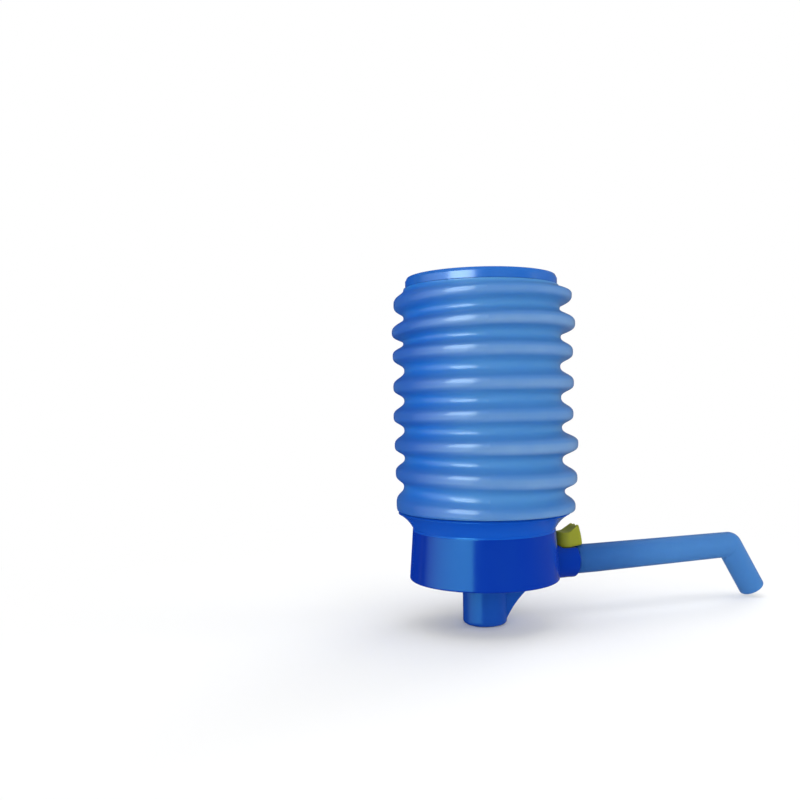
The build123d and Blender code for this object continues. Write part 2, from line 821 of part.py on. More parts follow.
with BuildPart() as inlet_valve_cage:
    # Floor with air holes, pushed into the boss, on a lip below it
    drum(inlet_boss_in_r - seat_gap / 2, inlet_floor_low_z, inlet_floor_high_z)
    drum(inlet_boss_r, inlet_floor_low_z - inlet_lip_t, inlet_floor_low_z)
    for angle in [360 / inlet_nibs * i for i in range(inlet_nibs)]:
        with Locations(Rotation(0, 0, angle)):
            with Locations((inlet_hole_r, 0, inlet_floor_high_z)):
                Box(
                    inlet_disc_r - inlet_hole_r,
                    inlet_nib_w,
                    inlet_nib_h,
                    align=(Align.MIN, Align.CENTER, Align.MIN),
                )
    with BuildSketch(Plane.XY.offset(inlet_floor_low_z - inlet_lip_t)):
        with PolarLocations(inlet_disc_r * 0.6, inlet_nibs, start_angle=180 / inlet_nibs):
            Circle(inlet_hole_r)
    extrude(amount=inlet_lip_t + inlet_floor_t, mode=Mode.SUBTRACT)
save(inlet_valve_cage, "inlet_valve_cage")

with BuildPart() as inlet_valve_disc:
    drum(inlet_disc_r, inlet_disc_low_z, inlet_disc_low_z + inlet_disc_t)
save(inlet_valve_disc, "inlet_valve_disc")
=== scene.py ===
from math import asin, cos, pi, radians, sin, sqrt, tan

import bmesh
import bpy
from mathutils import Matrix, Vector


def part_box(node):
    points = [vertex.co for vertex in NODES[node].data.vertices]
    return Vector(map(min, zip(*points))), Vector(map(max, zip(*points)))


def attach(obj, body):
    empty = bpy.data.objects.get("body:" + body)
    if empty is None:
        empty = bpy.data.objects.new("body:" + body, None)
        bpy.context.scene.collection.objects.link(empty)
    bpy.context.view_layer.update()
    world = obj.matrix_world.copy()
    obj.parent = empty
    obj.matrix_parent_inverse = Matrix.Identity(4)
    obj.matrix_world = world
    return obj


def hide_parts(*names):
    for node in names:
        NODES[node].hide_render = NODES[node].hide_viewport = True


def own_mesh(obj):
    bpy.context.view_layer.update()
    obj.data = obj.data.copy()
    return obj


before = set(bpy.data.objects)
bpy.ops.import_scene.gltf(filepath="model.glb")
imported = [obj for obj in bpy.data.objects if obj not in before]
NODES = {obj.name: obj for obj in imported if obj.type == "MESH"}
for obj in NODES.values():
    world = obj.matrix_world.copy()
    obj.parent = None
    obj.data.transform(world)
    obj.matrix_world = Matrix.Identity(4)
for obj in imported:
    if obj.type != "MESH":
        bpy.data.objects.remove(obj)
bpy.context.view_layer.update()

bl_info = {
    "name": "Water jug hand pump",
    "version": (1, 0, 0),
    "blender": (4, 5, 0),
    "location": "3D View > Sidebar > Hand Pump",
    "description": "Dresses the frame of a bellows pump for a drinking-water jug",
    "category": "Object",
}

MM = 0.001
FLOOR_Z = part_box("neck_insert")[0][2]

# Places in millimetres, read from the solids
COLLAR_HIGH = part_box("bellows_collar")[1][2] / MM
BELLOWS_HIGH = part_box("bellows")[1][2] / MM
KNOB_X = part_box("stopcock_knob")[0][0] / MM  # back edge of the knob
CAP_LOW = BELLOWS_HIGH - 2.6  # the bellows' neck goes this far up into the cap
# The blown rings start just clear of the collar and end just clear of the cap
RINGS_LOW, RINGS_HIGH = COLLAR_HIGH + 0.12, CAP_LOW - 0.25

# Angles are measured round the axis from the spout. The two halves of the blow mould leave seams.
SEAMS = (radians(-110), radians(70))
# Horizontal direction kept clear of the painted shade; the two sides square to it are painted a deeper,
# darker blue
UNSHADED_SIDE = (cos(radians(-75)), sin(radians(-75)), 0)


# ---------------------------------------------------------------- colour and nodes

def linear(hex_code):
    """Turns an sRGB hex colour into the linear colour that a shader takes."""
    channels = [int(hex_code[i:i + 2], 16) / 255 for i in (1, 3, 5)]
    return [c / 12.92 if c <= 0.04045 else ((c + 0.055) / 1.055) ** 2.4 for c in channels] + [1]


def per_mm(size):
    """Texture scale at which one feature is this many millimetres wide."""
    return 1.0 / (size * MM)


def add(tree, kind, links=None, values=None, **settings):
    """Adds one node: its settings, the values of its sockets and the links into them."""
    made = tree.nodes.new(kind)
    for name, value in settings.items():
        setattr(made, name, value)
    for name, value in (values or {}).items():
        made.inputs[name].default_value = value
    for name, source in (links or {}).items():
        tree.links.new(source, made.inputs[name])
    return made


def new_material(name):
    """Empty node material and its tree."""
    material = bpy.data.materials.new(name)
    material.use_nodes = True
    material.node_tree.nodes.clear()
    return material, material.node_tree


def moulded(name, colour, pale, roughness=0.3, grain=0.35, glow=0.0, gleam=0.5, tint=(1, 1, 1)):
    """Injection-moulded part: cloudy pigment, gloss rubbed in places and edges softened by the mould.
    The mould's spark-eroded texture is under 0.1 mm. It is drawn grain millimetres wide, to show."""
    material, tree = new_material(name)
    where = add(tree, "ShaderNodeTexCoord").outputs["Object"]
    cloud = add(tree, "ShaderNodeTexNoise", {"Vector": where}, {"Scale": per_mm(9.0), "Detail": 3.0})
    tone = add(tree, "ShaderNodeMix", {"Factor": cloud.outputs["Fac"]},
               {"A": linear(colour), "B": linear(pale)}, data_type="RGBA")
    fine = add(tree, "ShaderNodeTexNoise", {"Vector": where}, {"Scale": per_mm(grain), "Detail": 2.0})
    rub = add(tree, "ShaderNodeTexNoise", {"Vector": where}, {"Scale": per_mm(4.0), "Detail": 4.0})
    gloss = add(tree, "ShaderNodeMapRange", {"Value": rub.outputs["Fac"]},
                {"To Min": roughness - 0.05, "To Max": roughness + 0.06})
    edge = add(tree, "ShaderNodeBevel", values={"Radius": 0.3 * MM}, samples=6)
    relief = add(tree, "ShaderNodeBump",
                 {"Height": fine.outputs["Fac"], "Normal": edge.outputs["Normal"]},
                 {"Strength": 0.35, "Distance": 0.02 * MM})
    skin = add(
        tree,
        "ShaderNodeBsdfPrincipled",
        {
            "Base Color": tone.outputs["Result"],
            "Roughness": gloss.outputs["Result"],
            "Normal": relief.outputs["Normal"],
        },
        {
            "IOR": 1.49,
            "Specular IOR Level": gleam,
            "Specular Tint": (*tint, 1),
            "Subsurface Weight": glow,
            "Subsurface Radius": (0.5, 0.8, 1.6),
            "Subsurface Scale": 1.5 * MM,
        },
    )
    add(tree, "ShaderNodeOutputMaterial", {"Surface": skin.outputs["BSDF"]})
    return material


def blown_bellows(valley, face, milk, shaded_side_fold, shaded_side_ring):
    """Blow-moulded LDPE: waxy and half clear. The folds are painted a lighter blue than the rings, a
    painted glow of light through them; the crests are milky, partly the thin wall's paler colour and
    partly painted sheen, with painted shade on the rings' upper faces and a deeper painted shade on two
    opposite sides."""
    material, tree = new_material("blow_moulded_ldpe")
    coords = add(tree, "ShaderNodeTexCoord")
    where = coords.outputs["Object"]
    split = add(tree, "ShaderNodeSeparateXYZ", {"Vector": where})
    flat = add(tree, "ShaderNodeCombineXYZ", {"X": split.outputs["X"], "Y": split.outputs["Y"]})
    reach = add(tree, "ShaderNodeVectorMath", {0: flat.outputs["Vector"]}, operation="LENGTH")
    # Painted glow: the folds get a lighter blue than the rings' faces, standing in for light that comes
    # through the translucent folds
    out_of_fold = add(tree, "ShaderNodeMapRange", {"Value": reach.outputs["Value"]},
                    {"From Min": 39.6 * MM, "From Max": 44.6 * MM}, interpolation_type="SMOOTHSTEP")
    body = add(tree, "ShaderNodeMix", {"Factor": out_of_fold.outputs["Result"]},
               {"A": linear(valley), "B": linear(face)}, data_type="RGBA")

    # The milk lies on the crests, unevenly, in patches a few centimetres long. It is partly the thin
    # wall's paler colour and partly a painted sheen.
    crest = add(tree, "ShaderNodeMapRange", {"Value": reach.outputs["Value"]},
                {"From Min": 42.8 * MM, "From Max": 46.2 * MM}, interpolation_type="SMOOTHSTEP")
    patch = add(tree, "ShaderNodeTexNoise", {"Vector": where}, {"Scale": per_mm(16.0), "Detail": 2.0})
    uneven = add(tree, "ShaderNodeMapRange", {"Value": patch.outputs["Fac"]},
                 {"To Min": 0.5, "To Max": 1.1})
    thin = add(tree, "ShaderNodeMath", {0: crest.outputs["Result"], 1: uneven.outputs["Result"]},
               operation="MULTIPLY", use_clamp=True)
    # Painted shade: the milk is taken off faces that turn upwards, so the rings' upper faces are darker
    # than their undersides
    turned = add(tree, "ShaderNodeSeparateXYZ", {"Vector": coords.outputs["Normal"]})
    under = add(tree, "ShaderNodeMapRange", {"Value": turned.outputs["Z"]},
                {"From Min": -0.1, "From Max": 0.45, "To Min": 1.0, "To Max": 0.3})
    milky = add(tree, "ShaderNodeMath", {0: thin.outputs["Value"], 1: under.outputs["Result"]},
                operation="MULTIPLY", use_clamp=True)
    waxy = add(tree, "ShaderNodeMix", {"Factor": milky.outputs["Value"], "A": body.outputs["Result"]},
               {"B": linear(milk)}, data_type="RGBA")

    # Painted shade: a deeper, darker blue on the two sides square to UNSHADED_SIDE, which fades out
    # towards that direction
    heading = add(tree, "ShaderNodeVectorMath", {0: flat.outputs["Vector"]}, operation="NORMALIZE")
    across = add(tree, "ShaderNodeVectorMath", {0: heading.outputs["Vector"]}, {1: UNSHADED_SIDE},
                 operation="DOT_PRODUCT")
    side = add(tree, "ShaderNodeMath", {0: across.outputs["Value"]}, operation="ABSOLUTE")
    share = add(tree, "ShaderNodeMapRange", {"Value": side.outputs["Value"]},
                {"From Min": 0.05, "From Max": 0.8}, interpolation_type="SMOOTHSTEP")
    deep = add(tree, "ShaderNodeMix", {"Factor": out_of_fold.outputs["Result"]},
               {"A": linear(shaded_side_fold), "B": linear(shaded_side_ring)}, data_type="RGBA")
    tone = add(
        tree,
        "ShaderNodeMix",
        {"Factor": share.outputs["Result"], "A": deep.outputs["Result"], "B": waxy.outputs["Result"]},
        data_type="RGBA",
    )

    # Orange peel of the blown surface, under a soft, waxy sheen
    peel = add(tree, "ShaderNodeTexNoise", {"Vector": where}, {"Scale": per_mm(1.6), "Detail": 2.0})
    relief = add(tree, "ShaderNodeBump", {"Height": peel.outputs["Fac"]},
                 {"Strength": 0.4, "Distance": 0.04 * MM})
    skin = add(
        tree,
        "ShaderNodeBsdfPrincipled",
        {"Base Color": tone.outputs["Result"], "Normal": relief.outputs["Normal"]},
        {
            "Roughness": 0.17,
            "IOR": 1.51,
            "Specular IOR Level": 0.42,
            "Specular Tint": (0.75, 0.95, 1, 1),
            "Coat Weight": 0.3,
            "Coat Roughness": 0.62,
            "Coat IOR": 1.5,
            "Subsurface Weight": 0.3,
            "Subsurface Radius": (0.6, 1.0, 2.0),
            "Subsurface Scale": 2.0 * MM,
        },
    )
    through = add(tree, "ShaderNodeBsdfTranslucent",
                  {"Color": tone.outputs["Result"], "Normal": relief.outputs["Normal"]})
    both = add(tree, "ShaderNodeMixShader", {1: skin.outputs["BSDF"], 2: through.outputs["BSDF"]},
               {"Fac": 0.3})
    add(tree, "ShaderNodeOutputMaterial", {"Surface": both.outputs["Shader"]})
    return material


def half_clear_spout(root, clear):
    """Moulded half-clear polypropylene: darker at its root and lighter from there on towards the bend.
    Its flow marks and the mould's texture are finer than they are drawn here, so that they show."""
    material, tree = new_material("moulded_half_clear_polypropylene")
    where = add(tree, "ShaderNodeTexCoord").outputs["Object"]
    split = add(tree, "ShaderNodeSeparateXYZ", {"Vector": where})
    along = add(tree, "ShaderNodeMapRange", {"Value": split.outputs["X"]},
                {"From Min": 50 * MM, "From Max": 112 * MM}, interpolation_type="SMOOTHSTEP")
    tone = add(tree, "ShaderNodeMix", {"Factor": along.outputs["Result"]},
               {"A": linear(root), "B": linear(clear)}, data_type="RGBA")
    cloud = add(tree, "ShaderNodeTexNoise", {"Vector": where}, {"Scale": per_mm(7.0), "Detail": 3.0})
    mottle = add(tree, "ShaderNodeMapRange", {"Value": cloud.outputs["Fac"]},
                 {"To Min": 0.94, "To Max": 1.06})
    body = add(tree, "ShaderNodeVectorMath",
               {0: tone.outputs["Result"], "Scale": mottle.outputs["Result"]}, operation="SCALE")
    fine = add(tree, "ShaderNodeTexNoise", {"Vector": where}, {"Scale": per_mm(0.4), "Detail": 2.0})
    relief = add(tree, "ShaderNodeBump", {"Height": fine.outputs["Fac"]},
                 {"Strength": 0.35, "Distance": 0.02 * MM})
    skin = add(
        tree,
        "ShaderNodeBsdfPrincipled",
        {"Base Color": body.outputs["Vector"], "Normal": relief.outputs["Normal"]},
        {
            "Roughness": 0.34,
            "IOR": 1.49,
            "Specular IOR Level": 0.35,
            "Specular Tint": (0.6, 0.9, 1, 1),
            "Subsurface Weight": 0.2,
            "Subsurface Radius": (0.5, 0.9, 1.8),
            "Subsurface Scale": 2.0 * MM,
        },
    )
    add(tree, "ShaderNodeOutputMaterial", {"Surface": skin.outputs["BSDF"]})
    return material


# ---------------------------------------------------------------- meshes

def place_mesh(name, mesh, material):
    """Puts a mesh with its material into the scene."""
    mesh.materials.append(material)
    made = bpy.data.objects.new(name, mesh)
    bpy.context.scene.collection.objects.link(made)
    return made


def join_loops(bm, loops, ends_meet=False):
    """Faces from each loop of points to the next, and from the last to the first if the ends meet."""
    for i, loop in enumerate(loops if ends_meet else loops[:-1]):
        after = loops[(i + 1) % len(loops)]
        for k in range(len(loop)):
            n = (k + 1) % len(loop)
            bm.faces.new((loop[k], after[k], after[n], loop[n]))


def smooth_piece(name, bm, material):
    """Smooth piece from finished faces, placed in the scene."""
    bmesh.ops.recalc_face_normals(bm, faces=bm.faces)
    for face in bm.faces:
        face.smooth = True
    mesh = bpy.data.meshes.new(name)
    bm.to_mesh(mesh)
    bm.free()
    return place_mesh(name, mesh, material)


def lathe(name, profile, angles, material, shape=None):
    """Turns a closed half section in millimetres round Z. shape moves each point if given."""
    bm = bmesh.new()
    loops = []
    for angle in angles:
        loop = []
        for index, (r, z) in enumerate(profile):
            if shape:
                r, z = shape(r, z, angle, index)
            loop.append(bm.verts.new((r * cos(angle) * MM, r * sin(angle) * MM, z * MM)))
        loops.append(loop)
    join_loops(bm, loops, ends_meet=True)
    return smooth_piece(name, bm, material)


def inward(points, wall):
    """The same line, one wall thickness to its left-hand side."""
    moved = []
    for i, (r, z) in enumerate(points):
        before = points[max(i - 1, 0)]
        after = points[min(i + 1, len(points) - 1)]
        dr, dz = after[0] - before[0], after[1] - before[1]
        size = sqrt(dr * dr + dz * dz) or 1.0
        moved.append((r - wall * dz / size, z + wall * dr / size))
    return moved


def even_angles(count):
    """Angles in radians, evenly spaced all the way round."""
    return [2 * pi * i / count for i in range(count)]


# Angles of the steps round a softened edge, from its side to its top
QUARTER = [radians(15 * step) for step in range(7)]


def dress(material, *names):
    """Gives solids of the frame their finish."""
    for name in names:
        for held in NODES[name].material_slots:
            held.material = material


# ---------------------------------------------------------------- settings

class PumpBellowsSettings(bpy.types.PropertyGroup):
    """Sizes and colours of the bellows."""
    ring_count: bpy.props.IntProperty(
        name="Rings", description="Number of rings in the bellows", default=8, min=1)
    ring_pitch: bpy.props.FloatProperty(
        name="Ring pitch", description="Height from one ring to the next",
        default=14.5 * MM, unit="LENGTH")
    first_ring: bpy.props.FloatProperty(
        name="Lowest ring", description="Height of the lowest ring's middle",
        default=37.7 * MM, unit="LENGTH")
    peak_radius: bpy.props.FloatProperty(
        name="Peak radius", description="Radius over the rings",
        default=45.95 * MM, unit="LENGTH")
    valley_radius: bpy.props.FloatProperty(
        name="Valley radius", description="Radius at the bottom of the folds",
        default=39.0 * MM, unit="LENGTH")
    wall: bpy.props.FloatProperty(
        name="Wall", description="Thickness of the blown wall", default=1.0 * MM, unit="LENGTH")
    # The fold colour is painted lighter than the face colour, a painted glow of light through the folds
    valley_colour: bpy.props.StringProperty(
        name="Valley colour", description="sRGB hex colour deep in the folds", default="#569CDE")
    face_colour: bpy.props.StringProperty(
        name="Face colour", description="sRGB hex colour on the rings", default="#4888CE")
    # The milky colour is partly the thin wall's paler colour and partly painted sheen
    milk_colour: bpy.props.StringProperty(
        name="Milky colour", description="sRGB hex colour where the wall is thin", default="#7FA8D6")
    # Painted shade: the next two colours are the deeper, darker blue painted on two opposite sides of
    # the bellows
    shaded_side_fold_colour: bpy.props.StringProperty(
        name="Thick fold colour", description="sRGB hex colour of the folds beside the parting line",
        default="#1E80E2")
    shaded_side_ring_colour: bpy.props.StringProperty(
        name="Thick ring colour", description="sRGB hex colour of the rings beside the parting line",
        default="#2A6CC8")


class PumpBodySettings(bpy.types.PropertyGroup):
    """Sizes of the knob and colours of the moulded parts."""
    base_colour: bpy.props.StringProperty(
        name="Base colour", description="sRGB hex colour of the base", default="#022A98")
    collar_colour: bpy.props.StringProperty(
        name="Collar colour", description="sRGB hex colour of the flared collar", default="#0C4EB6")
    cap_colour: bpy.props.StringProperty(
        name="Cap colour", description="sRGB hex colour of the press cap", default="#1C5CB2")
    spout_colour: bpy.props.StringProperty(
        name="Spout colour", description="sRGB hex colour of the spout", default="#3E74B2")
    spout_root_colour: bpy.props.StringProperty(
        name="Spout root colour", description="sRGB hex colour of the spout over its nipple",
        default="#225496")
    knob_colour: bpy.props.StringProperty(
        name="Knob colour", description="sRGB hex colour of the knob", default="#868C16")
    knob_hub: bpy.props.FloatProperty(
        name="Knob hub", description="Radius of the knob's hub", default=5.0 * MM, unit="LENGTH")
    knob_nose: bpy.props.FloatProperty(
        name="Knob nose", description="Radius of the knob's nose", default=4.3 * MM, unit="LENGTH")
    knob_reach: bpy.props.FloatProperty(
        name="Knob reach", description="From the plug's axis to the tip of the nose",
        default=9.5 * MM, unit="LENGTH")
    knob_edge: bpy.props.FloatProperty(
        name="Knob edge", description="Rounding of the knob's edges", default=0.6 * MM, unit="LENGTH")


class PumpStageSettings(bpy.types.PropertyGroup):
    """Camera and light."""
    lens: bpy.props.FloatProperty(
        name="Lens", description="Focal length on a 36 mm sensor", default=38.25, unit="CAMERA")
    window_power: bpy.props.FloatProperty(
        name="Window", description="Power that the window and the lamps take their shares of",
        default=11.0, unit="POWER")
    sky: bpy.props.FloatProperty(
        name="Sky", description="Strength of the light from all round", default=0.7)


# ---------------------------------------------------------------- bellows

# Blown rings differ a little. In millimetres from the lowest ring: how far each falls short of the
# full radius, how far it leans towards the spout, how much higher it sits and how much it tips.
RING_SHORT = (1.2, 0.4, 0.0, 1.0, 0.7, 0.7, 0.0, 1.3)
RING_LEAN = (1.2, 1.5, 1.7, 0.2, 0.6, 0.3, 0.9, 0.7)
RING_LIFT = (0.0, -0.1, 0.7, 0.8, 1.4, 2.3, 0.5, 0.2)
RING_TIP = (1.9, 1.5, 0.2, 0.2, 0.5, 0.6, 2.1, 1.8)
# Angle in degrees at which each ring is tipped up
RING_UP = (100, 156, -24, -60, -24, -80, -64, -49)
# How much shallower than the deepest each fold is, from the lowest
FOLD_SHALLOW = (1.2, 0.4, 0.4, 0.2, 0.0, 0.4, 0.1)


def pick(values, i):
    """Value of a ring or fold, used again from the start where there are more of them."""
    return values[i % len(values)]


def bellows_section(sizes):
    """Outer half section of the rings, from the collar's rim up to the cap, and each point's ring."""
    pitch, first = sizes.ring_pitch / MM, sizes.first_ring / MM
    peak, valley = sizes.peak_radius / MM, sizes.valley_radius / MM
    top_ring = sizes.ring_count - 1
    rim = 42.5               # radius where the lowest ring meets the collar
    foot, neck = 40.0, 35.8  # radii where the section ends, below and above
    steps = 18               # points on each half of a ring
    points, rings = [(foot, RINGS_LOW + 0.1), (rim - 0.2, RINGS_LOW)], [0, 0]
    for i in range(sizes.ring_count):
        middle = first + i * pitch
        top = peak - pick(RING_SHORT, i)
        for k in range(-steps, steps):
            t = k / steps
            fold = i if t > 0 else i - 1
            deep = rim if fold < 0 else valley + (pick(FOLD_SHALLOW, fold) if fold < top_ring else 0)
            half = RINGS_HIGH - middle if t > 0 and i == top_ring else pitch / 2
            z = middle + t * half
            if z > RINGS_LOW + 0.2:
                # Full ring, steeper below than above, and a narrow fold with a level bottom
                near, out = (t * t, 1.3) if t > 0 else (-t * t * t, 1.05)
                drop = near / (near + out * (1 - abs(t)) ** 2)
                points.append((top - (top - deep) * drop, z))
                rings.append(i)
    points += [(valley - 0.1, RINGS_HIGH), (neck, RINGS_HIGH)]
    rings += [top_ring] * 2
    return points, rings


def settle(sizes, z, angle):
    """How far the wall at this height and angle has shifted up or down."""
    first, pitch = sizes.first_ring / MM, sizes.ring_pitch / MM
    knots = [(RINGS_LOW, 0.0)]
    for i in range(sizes.ring_count):
        tip = pick(RING_TIP, i) * cos(angle - radians(pick(RING_UP, i)))
        knots.append((first + i * pitch, pick(RING_LIFT, i) + tip))
    knots.append((RINGS_HIGH, 0.0))
    for (z0, d0), (z1, d1) in zip(knots, knots[1:]):
        if z0 <= z <= z1:
            return d0 + (d1 - d0) * (z - z0) / (z1 - z0)
    return 0.0


class PUMP_OT_bellows(bpy.types.Operator):
    """Blown bellows with its foot in the collar and its neck under the cap"""
    bl_idname = "pump.bellows"
    bl_label = "Bellows"

    def execute(self, context):
        sizes = context.scene.pump_bellows
        skin = blown_bellows(sizes.valley_colour, sizes.face_colour, sizes.milk_colour,
                             sizes.shaded_side_fold_colour, sizes.shaded_side_ring_colour)
        outer, rings_of = bellows_section(sizes)
        inner = inward(outer, sizes.wall / MM)
        lean = [pick(RING_LEAN, i) for i in rings_of + rings_of[::-1]]
        # Extra sections beside each seam keep its ridge sharp
        steps = (-0.6, -0.35, -0.12, 0.12, 0.35, 0.6)
        beside = [(seam + radians(step)) % (2 * pi) for seam in SEAMS for step in steps]
        angles = sorted(set(even_angles(192) + beside))
        # Only what lies outside the deepest fold is uneven, and most of all the rings
        inmost, fold_depth = 39.0, 7.0
        # Height of a seam's ridge, half its width and the radius it starts from
        ridge, ridge_half, ridge_from = 0.05, radians(0.2), 36

        def shape(r, z, angle, index):
            """A blown ring is a little out of round, leans and tips, and has the seams' ridges."""
            share = max(0.0, (r - inmost) / fold_depth)
            r += share * (0.1 * sin(2 * angle + z / 9) + 0.05 * sin(3 * angle - z / 5) - 0.15)
            r += lean[index] * share * cos(angle)
            z += settle(sizes, z, angle)
            for seam in SEAMS:
                off = abs((angle - seam + pi) % (2 * pi) - pi)
                if off < ridge_half and r > ridge_from:
                    r += ridge
            return r, z

        rings = lathe("bellows_rings", outer + inner[::-1], angles, skin, shape)
        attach(rings, "base")
        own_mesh(rings)
        # The foot has a bead that the collar clamps, and opens to the lowest ring
        foot_line = [(34.4, 25.2), (34.4, 26.0), (32.8, 26.1), (32.8, 27.8),
                     (37.2, 32.6), (40.0, outer[0][1])]
        foot_wall = inward(foot_line, 0.9)
        foot = lathe("bellows_foot", foot_line + foot_wall[::-1], even_angles(128), skin)
        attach(foot, "base")
        neck_out, neck_in = 35.7, 34.8
        neck_line = [(neck_out, outer[-1][1]), (neck_out, BELLOWS_HIGH),
                     (neck_in, BELLOWS_HIGH), (neck_in, outer[-1][1])]
        neck = lathe("bellows_neck", neck_line, even_angles(128), skin)
        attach(neck, "cap")
        for piece in (rings, foot, neck):
            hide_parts("bellows")
        return {"FINISHED"}


# ---------------------------------------------------------------- moulded pieces

class PUMP_OT_body(bpy.types.Operator):
    """Moulded base, collar and cap"""
    bl_idname = "pump.body"
    bl_label = "Base, collar and cap"

    def execute(self, context):
        tones = context.scene.pump_body
        blue = (0.22, 1.0, 0.95)
        # Polypropylene off a polished mould: deep, even blue whose gloss stays blue
        base = moulded("moulded_polypropylene_base", tones.base_colour, pale="#062F98",
                       roughness=0.17, gleam=0.55, tint=blue)
        dress(base, "base_skirt")
        # The same off a plainer mould: its sheen is soft
        insert = moulded("moulded_polypropylene_insert", "#1344A2", pale="#194BAA",
                         roughness=0.22, gleam=0.34, tint=blue)
        dress(insert, "neck_insert", "water_channel")
        # Thinner at its flare, so the light in it makes it a paler blue
        collar = moulded("moulded_polypropylene_collar", tones.collar_colour, pale="#124EB4",
                         roughness=0.22, gleam=0.4, tint=blue)
        dress(collar, "bellows_collar")
        # Polyethylene is waxier, so the window shows as a broad bright patch
        cap = moulded("moulded_polyethylene_cap", tones.cap_colour, pale="#2064B8",
                      roughness=0.2, gleam=0.6, tint=(0.75, 1, 1))
        dress(cap, "press_cap", "cap_clamp_ring", "inlet_valve_cage")
        return {"FINISHED"}


# Heights in millimetres of the knob's underside, at the hub and at the nose, which clears the spout
HUB_FOOT, NOSE_FOOT = 12.8, 13.4


def knob_outline(sizes, inset):
    """Hull of the knob's hub and nose seen from above, moved inwards."""
    hub, nose = sizes.knob_hub / MM - inset, sizes.knob_nose / MM - inset
    gap = (sizes.knob_reach - sizes.knob_nose) / MM
    turn = pi / 2 - asin((hub - nose) / gap)
    steps = 36  # round each end
    points = []
    for k in range(steps + 1):
        a = turn + (2 * pi - 2 * turn) * k / steps
        points.append((hub * cos(a), hub * sin(a)))
    for k in range(steps + 1):
        a = -turn + 2 * turn * k / steps
        points.append((gap + nose * cos(a), nose * sin(a)))
    return points


def knob_top(sizes, x):
    """Height of the knob's top at a distance from the plug's axis: dish for the thumb, peak, nose."""
    # The dish is an arc from the back edge through its lowest point to the peak
    (x0, z0), (x1, z1), (x2, z2) = (-6.0, 21.4), (-1.1, 20.5), (5.2, 23.6)
    d = 2 * (x0 * (z1 - z2) + x1 * (z2 - z0) + x2 * (z0 - z1))
    s0, s1, s2 = x0 ** 2 + z0 ** 2, x1 ** 2 + z1 ** 2, x2 ** 2 + z2 ** 2
    cx = (s0 * (z1 - z2) + s1 * (z2 - z0) + s2 * (z0 - z1)) / d
    cz = (s0 * (x2 - x1) + s1 * (x0 - x2) + s2 * (x1 - x0)) / d
    radius = sqrt((x0 - cx) ** 2 + (z0 - cz) ** 2)
    dish = cz - sqrt(max(radius ** 2 - (x - cx) ** 2, 0.0)) if x < x2 else z2 + (x - x2)
    # The nose slopes from just beyond the peak to the hub's foot
    nose_x = 6.0
    nose = z2 - (x - nose_x) * (z2 - HUB_FOOT) / (sizes.knob_reach / MM - nose_x)
    soft = 0.7  # how gently the peak turns into the nose
    blend = min(1.0, max(0.0, 0.5 - (dish - nose) / (2 * soft)))
    return nose + (dish - nose) * blend - soft * blend * (1 - blend)


class PUMP_OT_knob(bpy.types.Operator):
    """Knob of the stopcock, dished for the thumb, with a nose that shows which way the water runs"""
    bl_idname = "pump.knob"
    bl_label = "Stopcock knob"

    def execute(self, context):
        sizes = context.scene.pump_body
        # Polypropylene off a textured mould: opaque yellow-green with a dull sheen
        material = moulded("moulded_polypropylene_knob", sizes.knob_colour, pale="#92961E",
                           roughness=0.36, gleam=0.4)
        hub, edge = sizes.knob_hub / MM, sizes.knob_edge / MM
        foot_edge, least_top = 0.3, 13.8  # edge of the underside, and the lowest height of the top
        axis_x = KNOB_X + hub
        middle = 1.0                      # from the plug's axis to the middle of the knob

        def under(x, y):
            """Height of the underside, which is lower on the hub."""
            return HUB_FOOT if x * x + y * y < (hub + 0.05) ** 2 else NOSE_FOOT

        def over(x, below=0.0):
            """Height of the top, or this far below it."""
            return max(knob_top(sizes, x) - below, least_top)

        loops = [[(x, y, under(x, y)) for x, y in knob_outline(sizes, foot_edge)]]
        for share in (0.0, 0.25, 0.5, 0.75):
            side = [(x, y, under(x, y) + foot_edge) for x, y in knob_outline(sizes, 0.0)]
            loops.append([(x, y, z + share * (over(x, edge) - z)) for x, y, z in side])
        for a in QUARTER:
            line = knob_outline(sizes, edge * (1 - cos(a)))
            loops.append([(x, y, over(x, edge * (1 - sin(a)))) for x, y in line])
        for share in (0.8, 0.6, 0.4, 0.2):
            line = [(middle + (x - middle) * share, y * share) for x, y in knob_outline(sizes, edge)]
            loops.append([(x, y, over(x)) for x, y in line])
        bm = bmesh.new()
        rows = [[bm.verts.new(((axis_x + x) * MM, y * MM, z * MM)) for x, y, z in loop]
                for loop in loops]
        join_loops(bm, rows)
        for row, z in ((rows[-1], knob_top(sizes, middle)), (rows[0], NOSE_FOOT)):
            centre = bm.verts.new(((axis_x + middle) * MM, 0, z * MM))
            for k in range(len(row)):
                bm.faces.new((row[k], row[(k + 1) % len(row)], centre))
        knob = smooth_piece("knob", bm, material)
        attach(knob, "stopcock")
        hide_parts("stopcock_knob")
        return {"FINISHED"}


